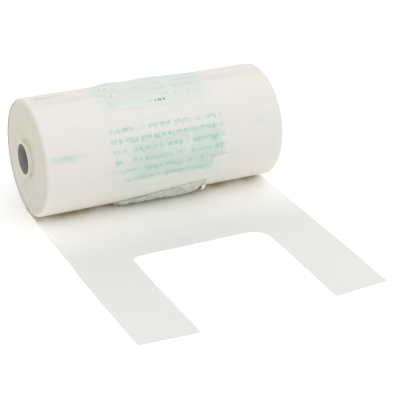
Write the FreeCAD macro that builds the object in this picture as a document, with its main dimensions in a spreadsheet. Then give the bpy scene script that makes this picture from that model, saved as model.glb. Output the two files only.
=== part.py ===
import FreeCAD, Part
import Sketcher
import math
import os

# A roll of vest-type carrier bags wound on a hollow core, with the first bag drawn out flat in front.
# Frame: millimetres, origin at the centre of the core's bore, +X along the core, +Z up, and the film
# leaves the underside of the roll towards -Y.
# The film's wound angle starts at the contact line under the roll and grows round the back, over the
# top and down the front. The modelled film is thicker than real film, so that it can be a solid.

SIZES = [
    ("film_width", 270.0, "lay-flat width of the bags"),
    ("roll_diameter", 125.0, "outside diameter of the wound film"),
    ("core_bore", 32.0, "inside diameter of the core tube"),
    ("core_outside", 38.0, "outside diameter of the core with its facing"),
    ("facing_ply", 0.6, "thickness of the pale paper ply on the core"),
    ("core_overhang", 4.0, "how far the core stands out of the film at each end"),
    ("core_clearance", 0.05, "radial running clearance between core and film"),
    ("wrap", 0.4, "thickness of one wrap of film as modelled"),
    ("bag_length", 485.0, "bag from perforation to perforation"),
    ("handle_length", 146.0, "handle from its tip to the base of the mouth"),
    ("handle_width", 60.0, "width of one handle band"),
    ("mouth_corner", 13.0, "rounding where a handle meets the base of the mouth"),
    ("seal_width", 8.0, "width of a bag's bottom seal"),
    ("skirt_length", 27.0, "tongue of film left on a bag's bottom, between the next bag's handles"),
    ("skirt_width", 104.0, "width of that tongue"),
    ("tie_strip", 3.0, "length along the film of a perforated strip"),
    ("slot_length", 6.0, "length of one slot of the perforation"),
    ("slot_pitch", 9.0, "spacing of the slots of the perforation"),
    ("slot_width", 1.2, "width of one slot of the perforation"),
    ("drawn_out", 278.0, "first bag's length in front of the contact line"),
    ("whole_bags", 3.0, "number of whole bags modelled one by one under the first"),
    ("roll_gap", 0.3, "clearance between the roll and the film under it"),
    ("film_gap", 0.3, "gap between pieces of flat film that move apart"),
    ("strip_back", 12.0, "reach of the strip under the roll behind the contact line"),
    ("strip_front", 22.0, "reach of the strip under the roll in front of the contact line"),
]

doc = FreeCAD.newDocument("bag_roll")
sheet = doc.addObject("Spreadsheet::Sheet", "sizes")
for row, (alias, value, meaning) in enumerate(SIZES, start=1):
    sheet.set("A%d" % row, alias)
    sheet.set("B%d" % row, str(value))
    sheet.set("C%d" % row, meaning)
    sheet.setAlias("B%d" % row, alias)
doc.recompute()


def size(alias):
    """A driving dimension, read from the sheet."""
    return float(getattr(sheet, alias))


def cell(expression):
    """An expression in which every alias of the sheet is written out as sizes.alias."""
    words = expression.split()
    known = {alias for alias, _, _ in SIZES}
    return " ".join("sizes." + word if word in known else word for word in words)


# Height of the table that the flat film lies on.
TABLE = "0 - roll_diameter / 2 - roll_gap - wrap"

nodes = {}


def keep(name, piece):
    """Label a finished piece with its node name and list it for export."""
    piece.Label = name
    nodes[name] = piece
    return piece


# ---------------------------------------------------------------- sketched pieces

def sketch_in(body, role):
    """An empty sketch on one of the body's own origin planes."""
    sketch = body.newObject("Sketcher::SketchObject", body.Name + "_outline")
    plane = [feature for feature in body.Origin.OriginFeatures if feature.Role == role][0]
    sketch.AttachmentSupport = [(plane, "")]
    sketch.MapMode = "FlatFace"
    return sketch


def pad_of(body, sketch, length, both_ways=False):
    """Pad a sketch by an expression's length, upwards or to both sides."""
    pad = body.newObject("PartDesign::Pad", body.Name + "_pad")
    pad.Profile = sketch
    pad.SideType = "Symmetric" if both_ways else "One side"
    pad.setExpression("Length", cell(length))
    return pad


def tube(name, outside, inside, length):
    """A tube along X, centred on the origin."""
    body = doc.addObject("PartDesign::Body", name)
    sketch = sketch_in(body, "YZ_Plane")
    for diameter in (outside, inside):
        circle = Part.Circle(FreeCAD.Vector(), FreeCAD.Vector(0, 0, 1), 10)
        index = sketch.addGeometry(circle)
        sketch.addConstraint(Sketcher.Constraint("Coincident", index, 3, -1, 1))
        fixed = sketch.addConstraint(Sketcher.Constraint("Diameter", index, 20))
        sketch.setExpression("Constraints[%d]" % fixed, cell(diameter))
    pad_of(body, sketch, length, both_ways=True)
    return keep(name, body)


def flat_film(name, x_low, x_high, y_low, y_high):
    """A flat rectangle of film lying on the table, each side given by an expression."""
    box = doc.addObject("Part::Box", name)
    box.setExpression("Length", cell("( %s ) - ( %s )" % (x_high, x_low)))
    box.setExpression("Width", cell("( %s ) - ( %s )" % (y_high, y_low)))
    box.setExpression("Height", cell("wrap"))
    box.setExpression("Placement.Base.x", cell(x_low))
    box.setExpression("Placement.Base.y", cell(y_low))
    box.setExpression("Placement.Base.z", cell(TABLE))
    return keep(name, box)


def flat_handle(name):
    """The first bag's left handle.

    The outline runs down the outer edge, along the tip and up the inner edge, then round the mouth's
    corner to the root line.
    """
    body = doc.addObject("PartDesign::Body", name)
    sketch = sketch_in(body, "XY_Plane")
    corner = size("mouth_corner")
    outer = -0.5 * size("film_width")
    inner = outer + size("handle_width")
    tip = -size("drawn_out")
    root = tip + size("handle_length") - size("film_gap")
    points = [(outer, root), (outer, tip), (inner, tip), (inner, root - corner), (inner + corner, root)]
    points = [FreeCAD.Vector(x, y, 0) for x, y in points]
    outer_line, tip_line, inner_line = [
        sketch.addGeometry(Part.LineSegment(here, there)) for here, there in zip(points[:3], points[1:4])]
    centre = FreeCAD.Vector(inner + corner, root - corner, 0)
    circle = Part.Circle(centre, FreeCAD.Vector(0, 0, 1), corner)
    arc = sketch.addGeometry(Part.ArcOfCircle(circle, 0.5 * math.pi, math.pi))
    root_line = sketch.addGeometry(Part.LineSegment(points[4], points[0]))

    def tie(kind, *items):
        return sketch.addConstraint(Sketcher.Constraint(kind, *items))

    tie("Coincident", outer_line, 2, tip_line, 1)
    tie("Coincident", tip_line, 2, inner_line, 1)
    tie("Coincident", root_line, 2, outer_line, 1)
    tie("Tangent", inner_line, 2, arc, 2)
    tie("Tangent", arc, 1, root_line, 1)
    tie("Vertical", outer_line)
    tie("Horizontal", tip_line)
    tie("Vertical", inner_line)
    tie("Horizontal", root_line)
    bound = [
        (tie("DistanceX", outer_line, 1, -1, 1, -outer), "film_width / 2"),
        (tie("DistanceX", tip_line, 1, tip_line, 2, inner - outer), "handle_width"),
        (tie("DistanceY", outer_line, 1, -1, 1, -root), "drawn_out - handle_length + film_gap"),
        (tie("DistanceY", outer_line, 2, -1, 1, -tip), "drawn_out"),
        (tie("Radius", arc, corner), "mouth_corner"),
    ]
    for index, expression in bound:
        sketch.setExpression("Constraints[%d]" % index, cell(expression))
    pad_of(body, sketch, "wrap")
    body.setExpression("Placement.Base.z", cell(TABLE))
    return keep(name, body)


def mirrored(name, source):
    """A piece's mirror image across the middle of the core."""
    image = doc.addObject("Part::Mirroring", name)
    image.Source = source
    image.Normal = FreeCAD.Vector(1, 0, 0)
    return keep(name, image)


# ---------------------------------------------------------------- wound pieces

def half_radius(half):
    """Outside radius of the film's half-turn number half, counted from the contact line."""
    return 0.5 * size("roll_diameter") - 0.5 * half * size("wrap")


def wound_angle(length):
    """Wound angle, in degrees, that a length of film reaches from the contact line."""
    half = 0
    while length > math.pi * half_radius(half):
        length -= math.pi * half_radius(half)
        half += 1
    return 180.0 * half + math.degrees(length / half_radius(half))


def wound_point(angle, half, depth):
    """A point of half-turn number half, a depth under its outside, in the plane x = 0.

    Back half-turns are centred on the core's axis and front ones half a wrap above it, so that the
    spiral is made of plain arcs that meet in line.
    """
    radius = half_radius(half) - depth
    raised = 0.5 * size("wrap") if half % 2 else 0.0
    turn = math.radians(angle)
    return FreeCAD.Vector(0, radius * math.sin(turn), raised - radius * math.cos(turn))


def wound_arcs(start, end, depth):
    """The spiral's arcs from one wound angle to another, a depth under the outside."""
    arcs = []
    half = int(start // 180)
    while start < end - 1e-6:
        stop = min(end, 180.0 * (half + 1))
        angles = (start, 0.5 * (start + stop), stop)
        arcs.append(Part.Arc(*[wound_point(angle, half, depth) for angle in angles]).toShape())
        start = stop
        half += 1
    return arcs


def wound_film(start, end, x_low, x_high):
    """A solid strip of wound film between two wound angles and two positions along the core."""
    outside = wound_arcs(start, end, 0.0)
    inside = wound_arcs(start, end, size("wrap"))
    first = Part.makeLine(inside[0].firstVertex().Point, outside[0].firstVertex().Point)
    last = Part.makeLine(outside[-1].lastVertex().Point, inside[-1].lastVertex().Point)
    outline = Part.Wire(Part.__sortEdges__([first] + outside + [last] + inside))
    face = Part.Face(outline)
    face.translate(FreeCAD.Vector(x_low, 0, 0))
    return face.extrude(FreeCAD.Vector(x_high - x_low, 0, 0))


def at_wound_angle(shape, angle):
    """Turn a shape built at the contact line, below the axis, to a wound angle."""
    shape.rotate(FreeCAD.Vector(), FreeCAD.Vector(1, 0, 0), angle)
    return shape


def feature(name, shape):
    """A wound piece: spirals of arcs fit neither a sketch with few constraints nor a primitive."""
    piece = doc.addObject("Part::Feature", name)
    piece.Shape = shape
    piece.Placement = FreeCAD.Placement()
    return keep(name, piece)


def mouth_cut(start, base):
    """Tools that cut a wound bag's mouth: the gap between its handles and its rounded base."""
    corner = size("mouth_corner")
    half_mouth = 0.5 * size("film_width") - size("handle_width")
    deep = size("roll_diameter")
    near, far = FreeCAD.Vector(-half_mouth, 0, -0.25 * deep), FreeCAD.Vector(half_mouth, 0, -deep)
    section = Part.makePolygon([near, FreeCAD.Vector(far.x, 0, near.z), far,
                                FreeCAD.Vector(near.x, 0, far.z), near])
    past_tips = 1.0
    before_base = math.degrees(corner / half_radius(int(base // 180)))
    sweep = base - before_base - (start - past_tips)
    gap = Part.Face(section).revolve(FreeCAD.Vector(), FreeCAD.Vector(1, 0, 0), sweep)
    end = Part.makeBox(2 * half_mouth, 2 * corner, deep, FreeCAD.Vector(-half_mouth, -2 * corner, -deep))
    upright = [edge for edge in end.Edges if edge.BoundBox.ZLength > 0.5 * deep]
    end = end.makeFillet(corner, [edge for edge in upright if edge.BoundBox.YMin > -corner])
    return at_wound_angle(gap, start - past_tips), at_wound_angle(end, base)


def wound_bag(name, start):
    """A whole bag wound on the roll: two handle bands, the base of its mouth and its body."""
    half_width = 0.5 * size("film_width")
    tips = wound_angle(start + size("tie_strip"))
    base = wound_angle(start + size("handle_length"))
    below_base = wound_angle(start + size("handle_length") + size("mouth_corner"))
    end = wound_angle(start + size("bag_length") - size("seal_width"))
    handles = wound_film(tips, below_base, -half_width, half_width)
    for tool in mouth_cut(tips, base):
        handles = handles.cut(tool)
    body = wound_film(below_base, end, -half_width, half_width)
    return feature(name, handles.fuse(body).removeSplitter())


def tie_strip(name, start, x_low, x_high):
    """The perforated strip that ties one bag's bottom to one handle of the next bag."""
    first, last = wound_angle(start), wound_angle(start + size("tie_strip"))
    strip = wound_film(first, last, x_low, x_high)
    count = int((x_high - x_low - size("slot_length")) // size("slot_pitch")) + 1
    margin = 0.5 * (x_high - x_low - (count - 1) * size("slot_pitch") - size("slot_length"))
    for index in range(count):
        x = x_low + margin + index * size("slot_pitch")
        slot = Part.makeBox(size("slot_length"), size("slot_width"), size("roll_diameter"),
                            FreeCAD.Vector(x, -0.5 * size("slot_width"), -size("roll_diameter")))
        strip = strip.cut(at_wound_angle(slot, 0.5 * (first + last)))
    return feature(name, strip)


def tie_strips(number, start):
    """Both perforated strips between bag number and the next bag."""
    half_width = 0.5 * size("film_width")
    half_mouth = half_width - size("handle_width")
    tie_strip("bag_%02d_ties_left" % number, start, -half_width, -half_mouth)
    tie_strip("bag_%02d_ties_right" % number, start, half_mouth, half_width)


def skirt(number, start):
    """The tongue of film past a bag's bottom seal, between the handles of the next bag."""
    half_width = 0.5 * size("skirt_width")
    start_angle, end_angle = wound_angle(start), wound_angle(start + size("skirt_length"))
    feature("bag_%02d_skirt" % number, wound_film(start_angle, end_angle, -half_width, half_width))


def seal(number, end):
    """The flat bottom seal of a bag whose film ends at a length from the contact line."""
    half_width = 0.5 * size("film_width")
    start_angle, end_angle = wound_angle(end - size("seal_width")), wound_angle(end)
    feature("bag_%02d_seal" % number, wound_film(start_angle, end_angle, -half_width, half_width))


def inner_bags(name, start):
    """All the bags further in, as one solid between the spiral and the core."""
    angle = wound_angle(start)
    turn = wound_arcs(angle, angle + 360.0, 0.0)
    step = Part.makeLine(turn[-1].lastVertex().Point, turn[0].firstVertex().Point)
    outline = Part.Face(Part.Wire(Part.__sortEdges__(turn + [step])))
    width = size("film_width")
    outline.translate(FreeCAD.Vector(-0.5 * width, 0, 0))
    solid = outline.extrude(FreeCAD.Vector(width, 0, 0))
    bore = 0.5 * size("core_outside") + size("core_clearance")
    hole = Part.makeCylinder(bore, 2 * width, FreeCAD.Vector(-width, 0, 0), FreeCAD.Vector(1, 0, 0))
    return feature(name, solid.cut(hole))


# ---------------------------------------------------------------- the roll

tube("core_tube", "core_outside - 2 * facing_ply", "core_bore", "film_width + 2 * core_overhang")
tube("core_facing", "core_outside", "core_outside - 2 * facing_ply", "film_width + 2 * core_overhang")

wound_part = size("bag_length") - size("drawn_out")
half_film = 0.5 * size("film_width")
feature("bag_01_wound",
        wound_film(0.0, wound_angle(wound_part - size("seal_width")), -half_film, half_film))
seal(1, wound_part)
skirt(1, wound_part)
tie_strips(1, wound_part)
bag_start = wound_part
for number in range(2, 2 + int(size("whole_bags"))):
    wound_bag("bag_%02d" % number, bag_start)
    bag_start += size("bag_length")
    seal(number, bag_start)
    if number < 1 + int(size("whole_bags")):
        skirt(number, bag_start)
        tie_strips(number, bag_start)
inner_bags("wound_bags", bag_start)

# ---------------------------------------------------------------- the first bag, drawn out on the table

LEFT, RIGHT = "0 - film_width / 2", "film_width / 2"
flat_film("bag_01_contact_strip", LEFT, RIGHT, "0 - strip_front", "strip_back")
flat_film("bag_01_body", LEFT, RIGHT, "handle_length - drawn_out", "0 - strip_front - film_gap")
left_handle = flat_handle("bag_01_handle_left")
mirrored("bag_01_handle_right", left_handle)

doc.recompute()
for item in doc.Objects:
    if "Invalid" in item.State or "Error" in item.State:
        raise RuntimeError("%s did not recompute: %s" % (item.Name, item.State))
for name, piece in nodes.items():
    if piece.Shape.isNull() or not piece.Shape.isValid() or len(piece.Shape.Solids) != 1:
        raise RuntimeError("%s is not one valid solid" % name)

os.makedirs("parts", exist_ok=True)
for name, piece in nodes.items():
    piece.Shape.exportStep("parts/%s.step" % name)
    box = piece.Shape.BoundBox
    print("%-22s %10.1f mm3  x %.1f..%.1f  y %.1f..%.1f  z %.2f..%.2f" % (
        name, piece.Shape.Volume, box.XMin, box.XMax, box.YMin, box.YMax, box.ZMin, box.ZMax))
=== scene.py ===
import math

import bmesh
import bpy
import numpy as np
from mathutils import Matrix, Vector, noise


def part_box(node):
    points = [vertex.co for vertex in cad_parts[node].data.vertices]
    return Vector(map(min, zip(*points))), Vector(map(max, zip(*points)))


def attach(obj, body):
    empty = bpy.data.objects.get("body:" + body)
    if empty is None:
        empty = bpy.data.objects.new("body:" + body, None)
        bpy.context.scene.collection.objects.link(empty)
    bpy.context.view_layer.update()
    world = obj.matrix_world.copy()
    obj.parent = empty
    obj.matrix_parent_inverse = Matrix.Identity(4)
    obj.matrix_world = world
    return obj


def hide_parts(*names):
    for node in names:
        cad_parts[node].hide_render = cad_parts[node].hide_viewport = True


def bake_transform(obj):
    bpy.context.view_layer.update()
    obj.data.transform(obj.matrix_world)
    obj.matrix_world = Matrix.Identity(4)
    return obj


bl_info = {
    "name": "Vest bag roll",
    "version": (1, 0, 0),
    "blender": (4, 5, 0),
    "location": "3D View > Sidebar > Bag roll",
    "description": "Builds a roll of vest-type carrier bags with its first bag drawn out",
    "category": "Object",
}

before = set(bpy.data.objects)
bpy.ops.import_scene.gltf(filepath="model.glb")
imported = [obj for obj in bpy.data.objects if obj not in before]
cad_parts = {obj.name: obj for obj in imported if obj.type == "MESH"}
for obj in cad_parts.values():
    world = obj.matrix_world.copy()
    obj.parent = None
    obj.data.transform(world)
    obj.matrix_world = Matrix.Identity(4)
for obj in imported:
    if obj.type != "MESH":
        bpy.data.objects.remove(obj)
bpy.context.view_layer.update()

WOUND_LOW, WOUND_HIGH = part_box("bag_01_wound")
BODY_LOW, BODY_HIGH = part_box("bag_01_body")
HANDLE_LOW, HANDLE_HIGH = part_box("bag_01_handle_left")
TONGUE_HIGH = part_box("bag_01_skirt")[1]
CORE_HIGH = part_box("core_facing")[1]
CORE_BORE = 0.016

# Wound angles in degrees: 0 where the film leaves the roll, 90 at the back, 180 on top.
FIRST_BAG_START, FIRST_BAG_END = 2.5, 190.15
SECOND_BAG_START, SECOND_BAG_MOUTH, SECOND_BAG_END = 192.6, 323.6, 634.6

# Across the film: columns of its side zones, and metres of film to one unit of its layout.
SIDE_COLUMNS = 26
LAYOUT_SPAN = 0.4

# Along the flat film: its end behind the roll.
FILM_BEHIND = 0.0112

# Perforation: distance from slot to slot, and the film left between two slots.
SLOT_PITCH, SLOT_BRIDGE = 0.009, 0.003

# How far the pack's outside lies under the roll's, and its film edges inside the film's width.
PACK_DEPTH, PACK_INSET = 0.00115, 0.0002

# How much a wound film is thinned at its free edges, so that they leave no step, half of one
# ply of hanging film, and the room that each of its sides keeps over the flat film.
EDGE_THINNING = 0.00024
HALF_PLY = 0.00008
ROOM_OUTSIDE, ROOM_INSIDE = 0.00018, 0.00034

DEGREES_PER_RADIAN = 57.29578


# ---------------------------------------------------------------- sizes and colours


def length(name, description, default):
    """A size in metres that a user may change."""
    return bpy.props.FloatProperty(
        name=name, description=description, default=default, unit="LENGTH"
    )


def tone(name, description, default):
    """A colour that a user may change."""
    return bpy.props.FloatVectorProperty(
        name=name, description=description, default=default, subtype="COLOR"
    )


class BagRollSizes(bpy.types.PropertyGroup):
    """Sizes of the film and of the way it is wound."""

    film_width: length("Film width", "Lay-flat width of the bags", WOUND_HIGH.x - WOUND_LOW.x)
    roll_radius: length("Roll radius", "Outside radius of the wound film", -WOUND_LOW.z)
    wrap: length("Wrap", "How much one turn of film adds to the roll's radius", 0.0004)
    film_thickness: length("Film thickness", "Thickness of a lay-flat bag as shown", 0.0003)
    handle_width: length("Handle width", "Width of one handle band", 0.060)
    mouth_corner: length(
        "Wound mouth corner",
        "Rounding where a wound handle meets the base of its mouth",
        HANDLE_HIGH.x - HANDLE_LOW.x - 0.060,
    )
    left_corner: length(
        "Left mouth corner",
        "Rounding at the left of the flat bag's mouth",
        0.0095,
    )
    right_corner: length(
        "Right mouth corner",
        "Rounding at the right of the flat bag's mouth, where the film lies slacker",
        0.0195,
    )
    tongue_half_width: length(
        "Tongue half width",
        "Half the width of the tongue on a bag's bottom",
        TONGUE_HIGH.x,
    )
    seal_width: length("Seal width", "Width of a bag's bottom seal", 0.008)
    end_rounding: length(
        "End rounding",
        "Rounding of the wound film at the ends of the roll",
        0.0028,
    )
    gusset_depth: length("Gusset depth", "Width of the four-ply side zones", 0.071)
    puff: length("Puff", "How far the loose end of the first bag stands off the roll", 0.0018)


class BagRollColours(bpy.types.PropertyGroup):
    """Colours of the film, its print and the core."""

    film_side: tone("Four-ply film", "Wound film over the gussets", (0.735, 0.712, 0.676))
    film_middle: tone("Two-ply film", "Wound film between the gussets", (0.662, 0.694, 0.664))
    film_end: tone(
        "Film edges",
        "Stacked film edges at the ends of the roll",
        (0.618, 0.592, 0.512),
    )
    film_flat: tone("Flat film", "The drawn-out bag", (0.726, 0.726, 0.714))
    print_green: tone("Print", "Faded print on the film", (0.290, 0.520, 0.440))
    # Grey board, darkened partly as painted shade inside the bore.
    board: tone("Core board", "Board inside the core tube", (0.330, 0.310, 0.285))
    paper: tone("Core paper", "Pale paper ply round the core", (0.700, 0.675, 0.600))


# ---------------------------------------------------------------- material building


class Field:
    """A number or colour that varies over a surface, with plain arithmetic."""

    def __init__(self, finish, socket):
        self.finish = finish
        self.socket = socket

    def __add__(self, other):
        return self.finish.math("ADD", self, other)

    def __sub__(self, other):
        return self.finish.math("SUBTRACT", self, other)

    def __mul__(self, other):
        return self.finish.math("MULTIPLY", self, other)

    def __truediv__(self, other):
        return self.finish.math("DIVIDE", self, other)

    def __abs__(self):
        return self.finish.math("ABSOLUTE", self)


class Finish:
    """A material being built: short calls for the nodes that the finishes share."""

    def __init__(self, name, roughness, specular):
        self.colour = self.normal = None
        self.material = bpy.data.materials.new(name)
        self.material.use_nodes = True
        self.tree = self.material.node_tree
        self.tree.nodes.clear()
        self.shader = self.tree.nodes.new("ShaderNodeBsdfPrincipled")
        self.shader.inputs["Specular IOR Level"].default_value = specular
        self.shader.inputs["Roughness"].default_value = roughness
        output = self.tree.nodes.new("ShaderNodeOutputMaterial")
        self.tree.links.new(self.shader.outputs[0], output.inputs["Surface"])

    def node(self, kind, inputs, result=0, **settings):
        """A new node with its settings and inputs, as the field that it gives."""
        node = self.tree.nodes.new("ShaderNode" + kind)
        for name, value in settings.items():
            setattr(node, name, value)
        for key, value in inputs.items():
            if isinstance(value, Field):
                self.tree.links.new(value.socket, node.inputs[key])
            else:
                node.inputs[key].default_value = value
        return Field(self, node.outputs[result])

    def math(self, operation, *values):
        return self.node("Math", dict(enumerate(values)), operation=operation)

    def steps(self, value, low, high):
        """A smooth rise from 0 at low to 1 at high."""
        inputs = {"Value": value, "From Min": low, "From Max": high}
        return self.node("MapRange", inputs, interpolation_type="SMOOTHSTEP")

    def within(self, value, low, high, soft):
        """1 between low and high, with soft ends."""
        rise = self.steps(value, low - soft, low + soft)
        return rise * self.steps(value, high + soft, high - soft)

    def vector(self, x, y, z):
        return self.node("CombineXYZ", {0: x, 1: y, 2: z})

    def noise(self, place, scale, detail=2.0, roughness=0.5):
        inputs = {"Vector": place, "Scale": scale, "Detail": detail, "Roughness": roughness}
        return self.node("TexNoise", inputs)

    def creases(self, place, scale):
        """Distance to the nearest line of an irregular web of creases."""
        inputs = {"Vector": place, "Scale": scale}
        return self.node("TexVoronoi", inputs, feature="DISTANCE_TO_EDGE")

    def mix(self, share, first, second):
        """A share of the second colour over the first."""
        ends = [c if isinstance(c, Field) else (*c[:3], 1.0) for c in (first, second)]
        inputs = {"Factor": share, 6: ends[0], 7: ends[1]}
        return self.node("Mix", inputs, 2, data_type="RGBA")

    def shades(self, share, colour, low, high):
        """Shades of one colour, from low to high times its brightness."""
        return self.mix(share, shade(colour, low), shade(colour, high))

    def wash(self, share, colour):
        """Lay a share of a colour over what the surface has so far."""
        self.colour = self.mix(share, self.colour, colour)

    def relief(self, height, distance, strength):
        """Raise the surface by a field of heights, on top of the relief that it has so far."""
        inputs = {"Strength": strength, "Distance": distance, "Height": height}
        if self.normal is not None:
            inputs["Normal"] = self.normal
        self.normal = self.node("Bump", inputs)

    def place(self, output="Object"):
        node = self.tree.nodes.new("ShaderNodeTexCoord")
        split = self.tree.nodes.new("ShaderNodeSeparateXYZ")
        self.tree.links.new(node.outputs[output], split.inputs[0])
        return [Field(self, part) for part in split.outputs]

    def done(self):
        """The material, with its colour and relief joined to the shader."""
        self.tree.links.new(self.colour.socket, self.shader.inputs["Base Color"])
        if self.normal is not None:
            self.tree.links.new(self.normal.socket, self.shader.inputs["Normal"])
        return self.material


def shade(colour, share):
    """The same colour, darker or lighter."""
    return tuple(min(1.0, part * share) for part in colour)


def roll_place(finish):
    """Along the core, round the roll from its top towards the front, and out from the axis."""
    x, y, z = finish.place()
    turn = finish.math("ARCTAN2", y * -1.0, z)
    return x, turn * DEGREES_PER_RADIAN, finish.math("SQRT", y * y + z * z)


def smear(finish, x, turn, middle, size, strength):
    """A faint patch of print showing through the film, ragged at its ends."""
    ragged = (finish.noise(finish.vector(x, turn * 0.004, 1.0), 160.0, 1.0) - 0.5) * 0.8
    along = abs(x - middle[0]) / size[0]
    across = abs(turn - middle[1]) / size[1]
    patch = finish.steps(along + ragged * 0.35, 1.05, 0.80)
    patch *= finish.steps(across + ragged, 1.25, 0.55)
    fade = finish.steps(x, middle[0] + 1.15 * size[0], middle[0] - 0.7 * size[0])
    return patch * (fade * 0.8 + 0.2) * strength


def print_rows(finish, x, turn, first, last, half_width, pitch=10.0):
    """Rows of worn, illegible print: word-like dashes of uneven ticks."""
    rows = (turn - first) / pitch
    row = finish.math("FLOOR", rows)
    local = rows - row
    shift = row * 7.31
    words = finish.steps(finish.noise(finish.vector(x, shift, 0.0), 74.0, 0.0), 0.37, 0.41)
    ticks = finish.noise(finish.vector(x * 330.0, shift + local * 1.6, 0.0), 1.0, 0.0)
    ticks = finish.steps(ticks, 0.40, 0.56) * 0.76 + 0.24
    top = finish.noise(finish.vector(x * 240.0, shift, 4.0), 1.0, 0.0)
    top = finish.steps(top, 0.46, 0.58) * 0.17
    height = finish.steps(local, 0.18, 0.28) * finish.steps(local, top + 0.64, top + 0.54)
    ends = finish.noise(finish.vector(shift, finish.steps(x, -0.01, 0.01), 1.0), 3.0, 0.0)
    ends = ends * 0.011 + (half_width - 0.006)
    block = finish.steps(ends - abs(x), -0.0015, 0.0015) * finish.within(turn, first, last, 0.1)
    worn = finish.noise(finish.vector(x, turn * 0.0022, 2.0), 30.0)
    return words * ticks * (height * block) * (finish.steps(worn, 0.34, 0.62) * 0.55 + 0.45)


def wound_film_finish(name, context, kind=""):
    """Wound film: warm over the gussets, cooler between them, with fine wrinkles along the core.

    Its kind is plain, or "rows" of print, "end" for the loose end of the first bag, "seal",
    "seal_in_rows" for a seal that lies among the print, or "flap" for the mouth edge, greener
    and with painted shade in its hollows.
    """
    sizes, colours = context.scene.bag_roll_sizes, context.scene.bag_roll_colours
    finish = Finish(name, 0.42, 0.35)
    x, turn, radius = roll_place(finish)
    arc = turn * (sizes.roll_radius / DEGREES_PER_RADIAN)
    place = finish.vector(x, arc, radius)
    streaks = finish.noise(finish.vector(x * 0.10, arc, 0.0), 150.0, 3.0, 0.6)
    clouds = finish.noise(place, 14.0)
    half = 0.5 * sizes.film_width
    inner = half - sizes.gusset_depth
    ragged = finish.noise(finish.vector(arc, finish.steps(x, -0.01, 0.01), 0.0), 110.0, 1.0)
    middle = finish.steps(abs(x) + (ragged - 0.5) * 0.012, inner + 0.005, inner - 0.006)
    side_colour = finish.shades(streaks, colours.film_side, 0.955, 1.03)
    middle_colour = finish.shades(clouds, colours.film_middle, 0.96, 1.04)
    streaked = finish.steps(streaks, 0.45, 0.75) * 0.35
    middle_colour = finish.mix(streaked, middle_colour, side_colour)
    finish.colour = finish.mix(middle * 0.85, side_colour, middle_colour)
    stains = smear(finish, x, turn, (-0.110, 71.0), (0.0205, 3.1), 0.56)
    stains += smear(finish, x, turn, (-0.107, -3.0), (0.0190, 2.8), 0.50)
    stains += smear(finish, x, turn, (0.113, 67.0), (0.007, 3.0), 0.16)
    if kind in ("rows", "seal_in_rows"):
        haze = middle * finish.within(turn, 65.0, 107.0, 6.0)
        haze *= finish.steps(x, -0.058, -0.026)
        haze *= finish.steps(finish.noise(place, 32.0), 0.24, 0.52)
        finish.wash(haze * 0.80, (0.460, 0.610, 0.545))
        ivory = finish.within(turn, 30.0, 61.0, 3.0) * 0.75 * middle
        finish.wash(ivory, shade(colours.film_side, 0.985))
        low = finish.steps(turn, 108.0, 122.0) * middle
        finish.wash(low * 0.6, (0.650, 0.664, 0.594))
        stains += print_rows(finish, x, turn, 49.0, 109.0, 0.0645) * 0.95
    if kind == "end":
        cool = finish.steps(turn, -35.0, 5.0) * middle
        finish.wash(cool * 0.30, (0.600, 0.668, 0.632))
        to_right = finish.steps(x, -0.005, 0.020) * 0.32 + 0.10
        stains += print_rows(finish, x, turn, -22.0, 24.0, 0.056) * to_right
        mark = finish.within(x, -0.017, 0.009, 0.0005) * finish.within(turn, 27.0, 29.6, 0.3)
        mark *= finish.steps(finish.noise(finish.vector(x, 3.0, 0.0), 520.0, 0.0), 0.44, 0.56)
        mark *= finish.steps(x, -0.018, 0.006)
        finish.wash(mark, (0.10, 0.30, 0.20))
        crinkled = finish.within(x, -0.0545, -0.0395, 0.002)
        crinkled *= finish.within(turn, -9.0, 22.0, 3.0)
        # Painted highlight and painted shade: light and dark speckles where the film is crinkled.
        speckle = finish.noise(place, 330.0)
        light = crinkled * finish.steps(speckle, 0.50, 0.58)
        finish.wash(light * 0.55, (0.78, 0.80, 0.76))
        dark = crinkled * finish.steps(speckle, 0.44, 0.38)
        finish.wash(dark * 0.55, (0.40, 0.50, 0.45))
        hem = finish.within(turn, 31.5, 38.5, 1.2) * (middle * 0.42)
        finish.wash(hem, (0.710, 0.685, 0.575))
    # Painted shade: greys the film over the front of the roll, where light falls on it most.
    painted_front_shade = finish.within(turn, 42.0, 102.0, 24.0) * 0.44
    finish.wash(painted_front_shade, (0.575, 0.580, 0.550))
    stains *= finish.steps(finish.noise(place, 60.0, 1.0), 0.10, 0.55)
    finish.wash(finish.math("MINIMUM", stains, 0.8), colours.print_green)
    lines = finish.creases(finish.vector(x * 0.16, arc, 0.0), 95.0)
    thin = finish.steps(lines, 0.022, 0.0) * finish.steps(clouds, 0.52, 0.66)
    finish.wash(thin * 0.20, (0.88, 0.88, 0.85))
    if kind == "flap":
        # Partly a greener tint of layered film, partly painted shade under the roll's overhang.
        finish.wash(0.45, (0.50, 0.53, 0.38))
        # Painted shade in the flap's hollows, darker towards its lower edge.
        painted_shade_depth = finish.steps(turn, 144.0, 160.0) * 0.50 + 0.30
        painted_hollow_shade = finish.noise(finish.vector(x * 0.35, arc, radius), 230.0, 2.0, 0.6)
        painted_hollow_shade = finish.steps(painted_hollow_shade, 0.52, 0.38) * painted_shade_depth
        finish.wash(painted_hollow_shade, (0.20, 0.21, 0.13))
    edge = finish.steps(abs(x), half - 0.0024, half) * 0.65
    finish.wash(edge, colours.film_end)
    if kind != "flap":
        # Painted light: lightens and warms the roll's underside, which lies in shade.
        painted_underside_light = finish.steps(turn, 96.0, 150.0) * 0.66
        finish.wash(painted_underside_light, (0.845, 0.805, 0.690))
    finish.relief(streaks, 0.0005, 0.5)
    if kind in ("seal", "seal_in_rows"):
        pressed = finish.math("SINE", turn * 9.0)
        finish.relief(pressed, 0.00008, 0.5)
        finish.wash(0.10, shade(colours.film_middle, 0.90))
    finish.relief(lines, 0.00012, 0.4)
    finish.relief(finish.noise(place, 420.0), 0.00006, 0.5)
    return finish.done()


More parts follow.
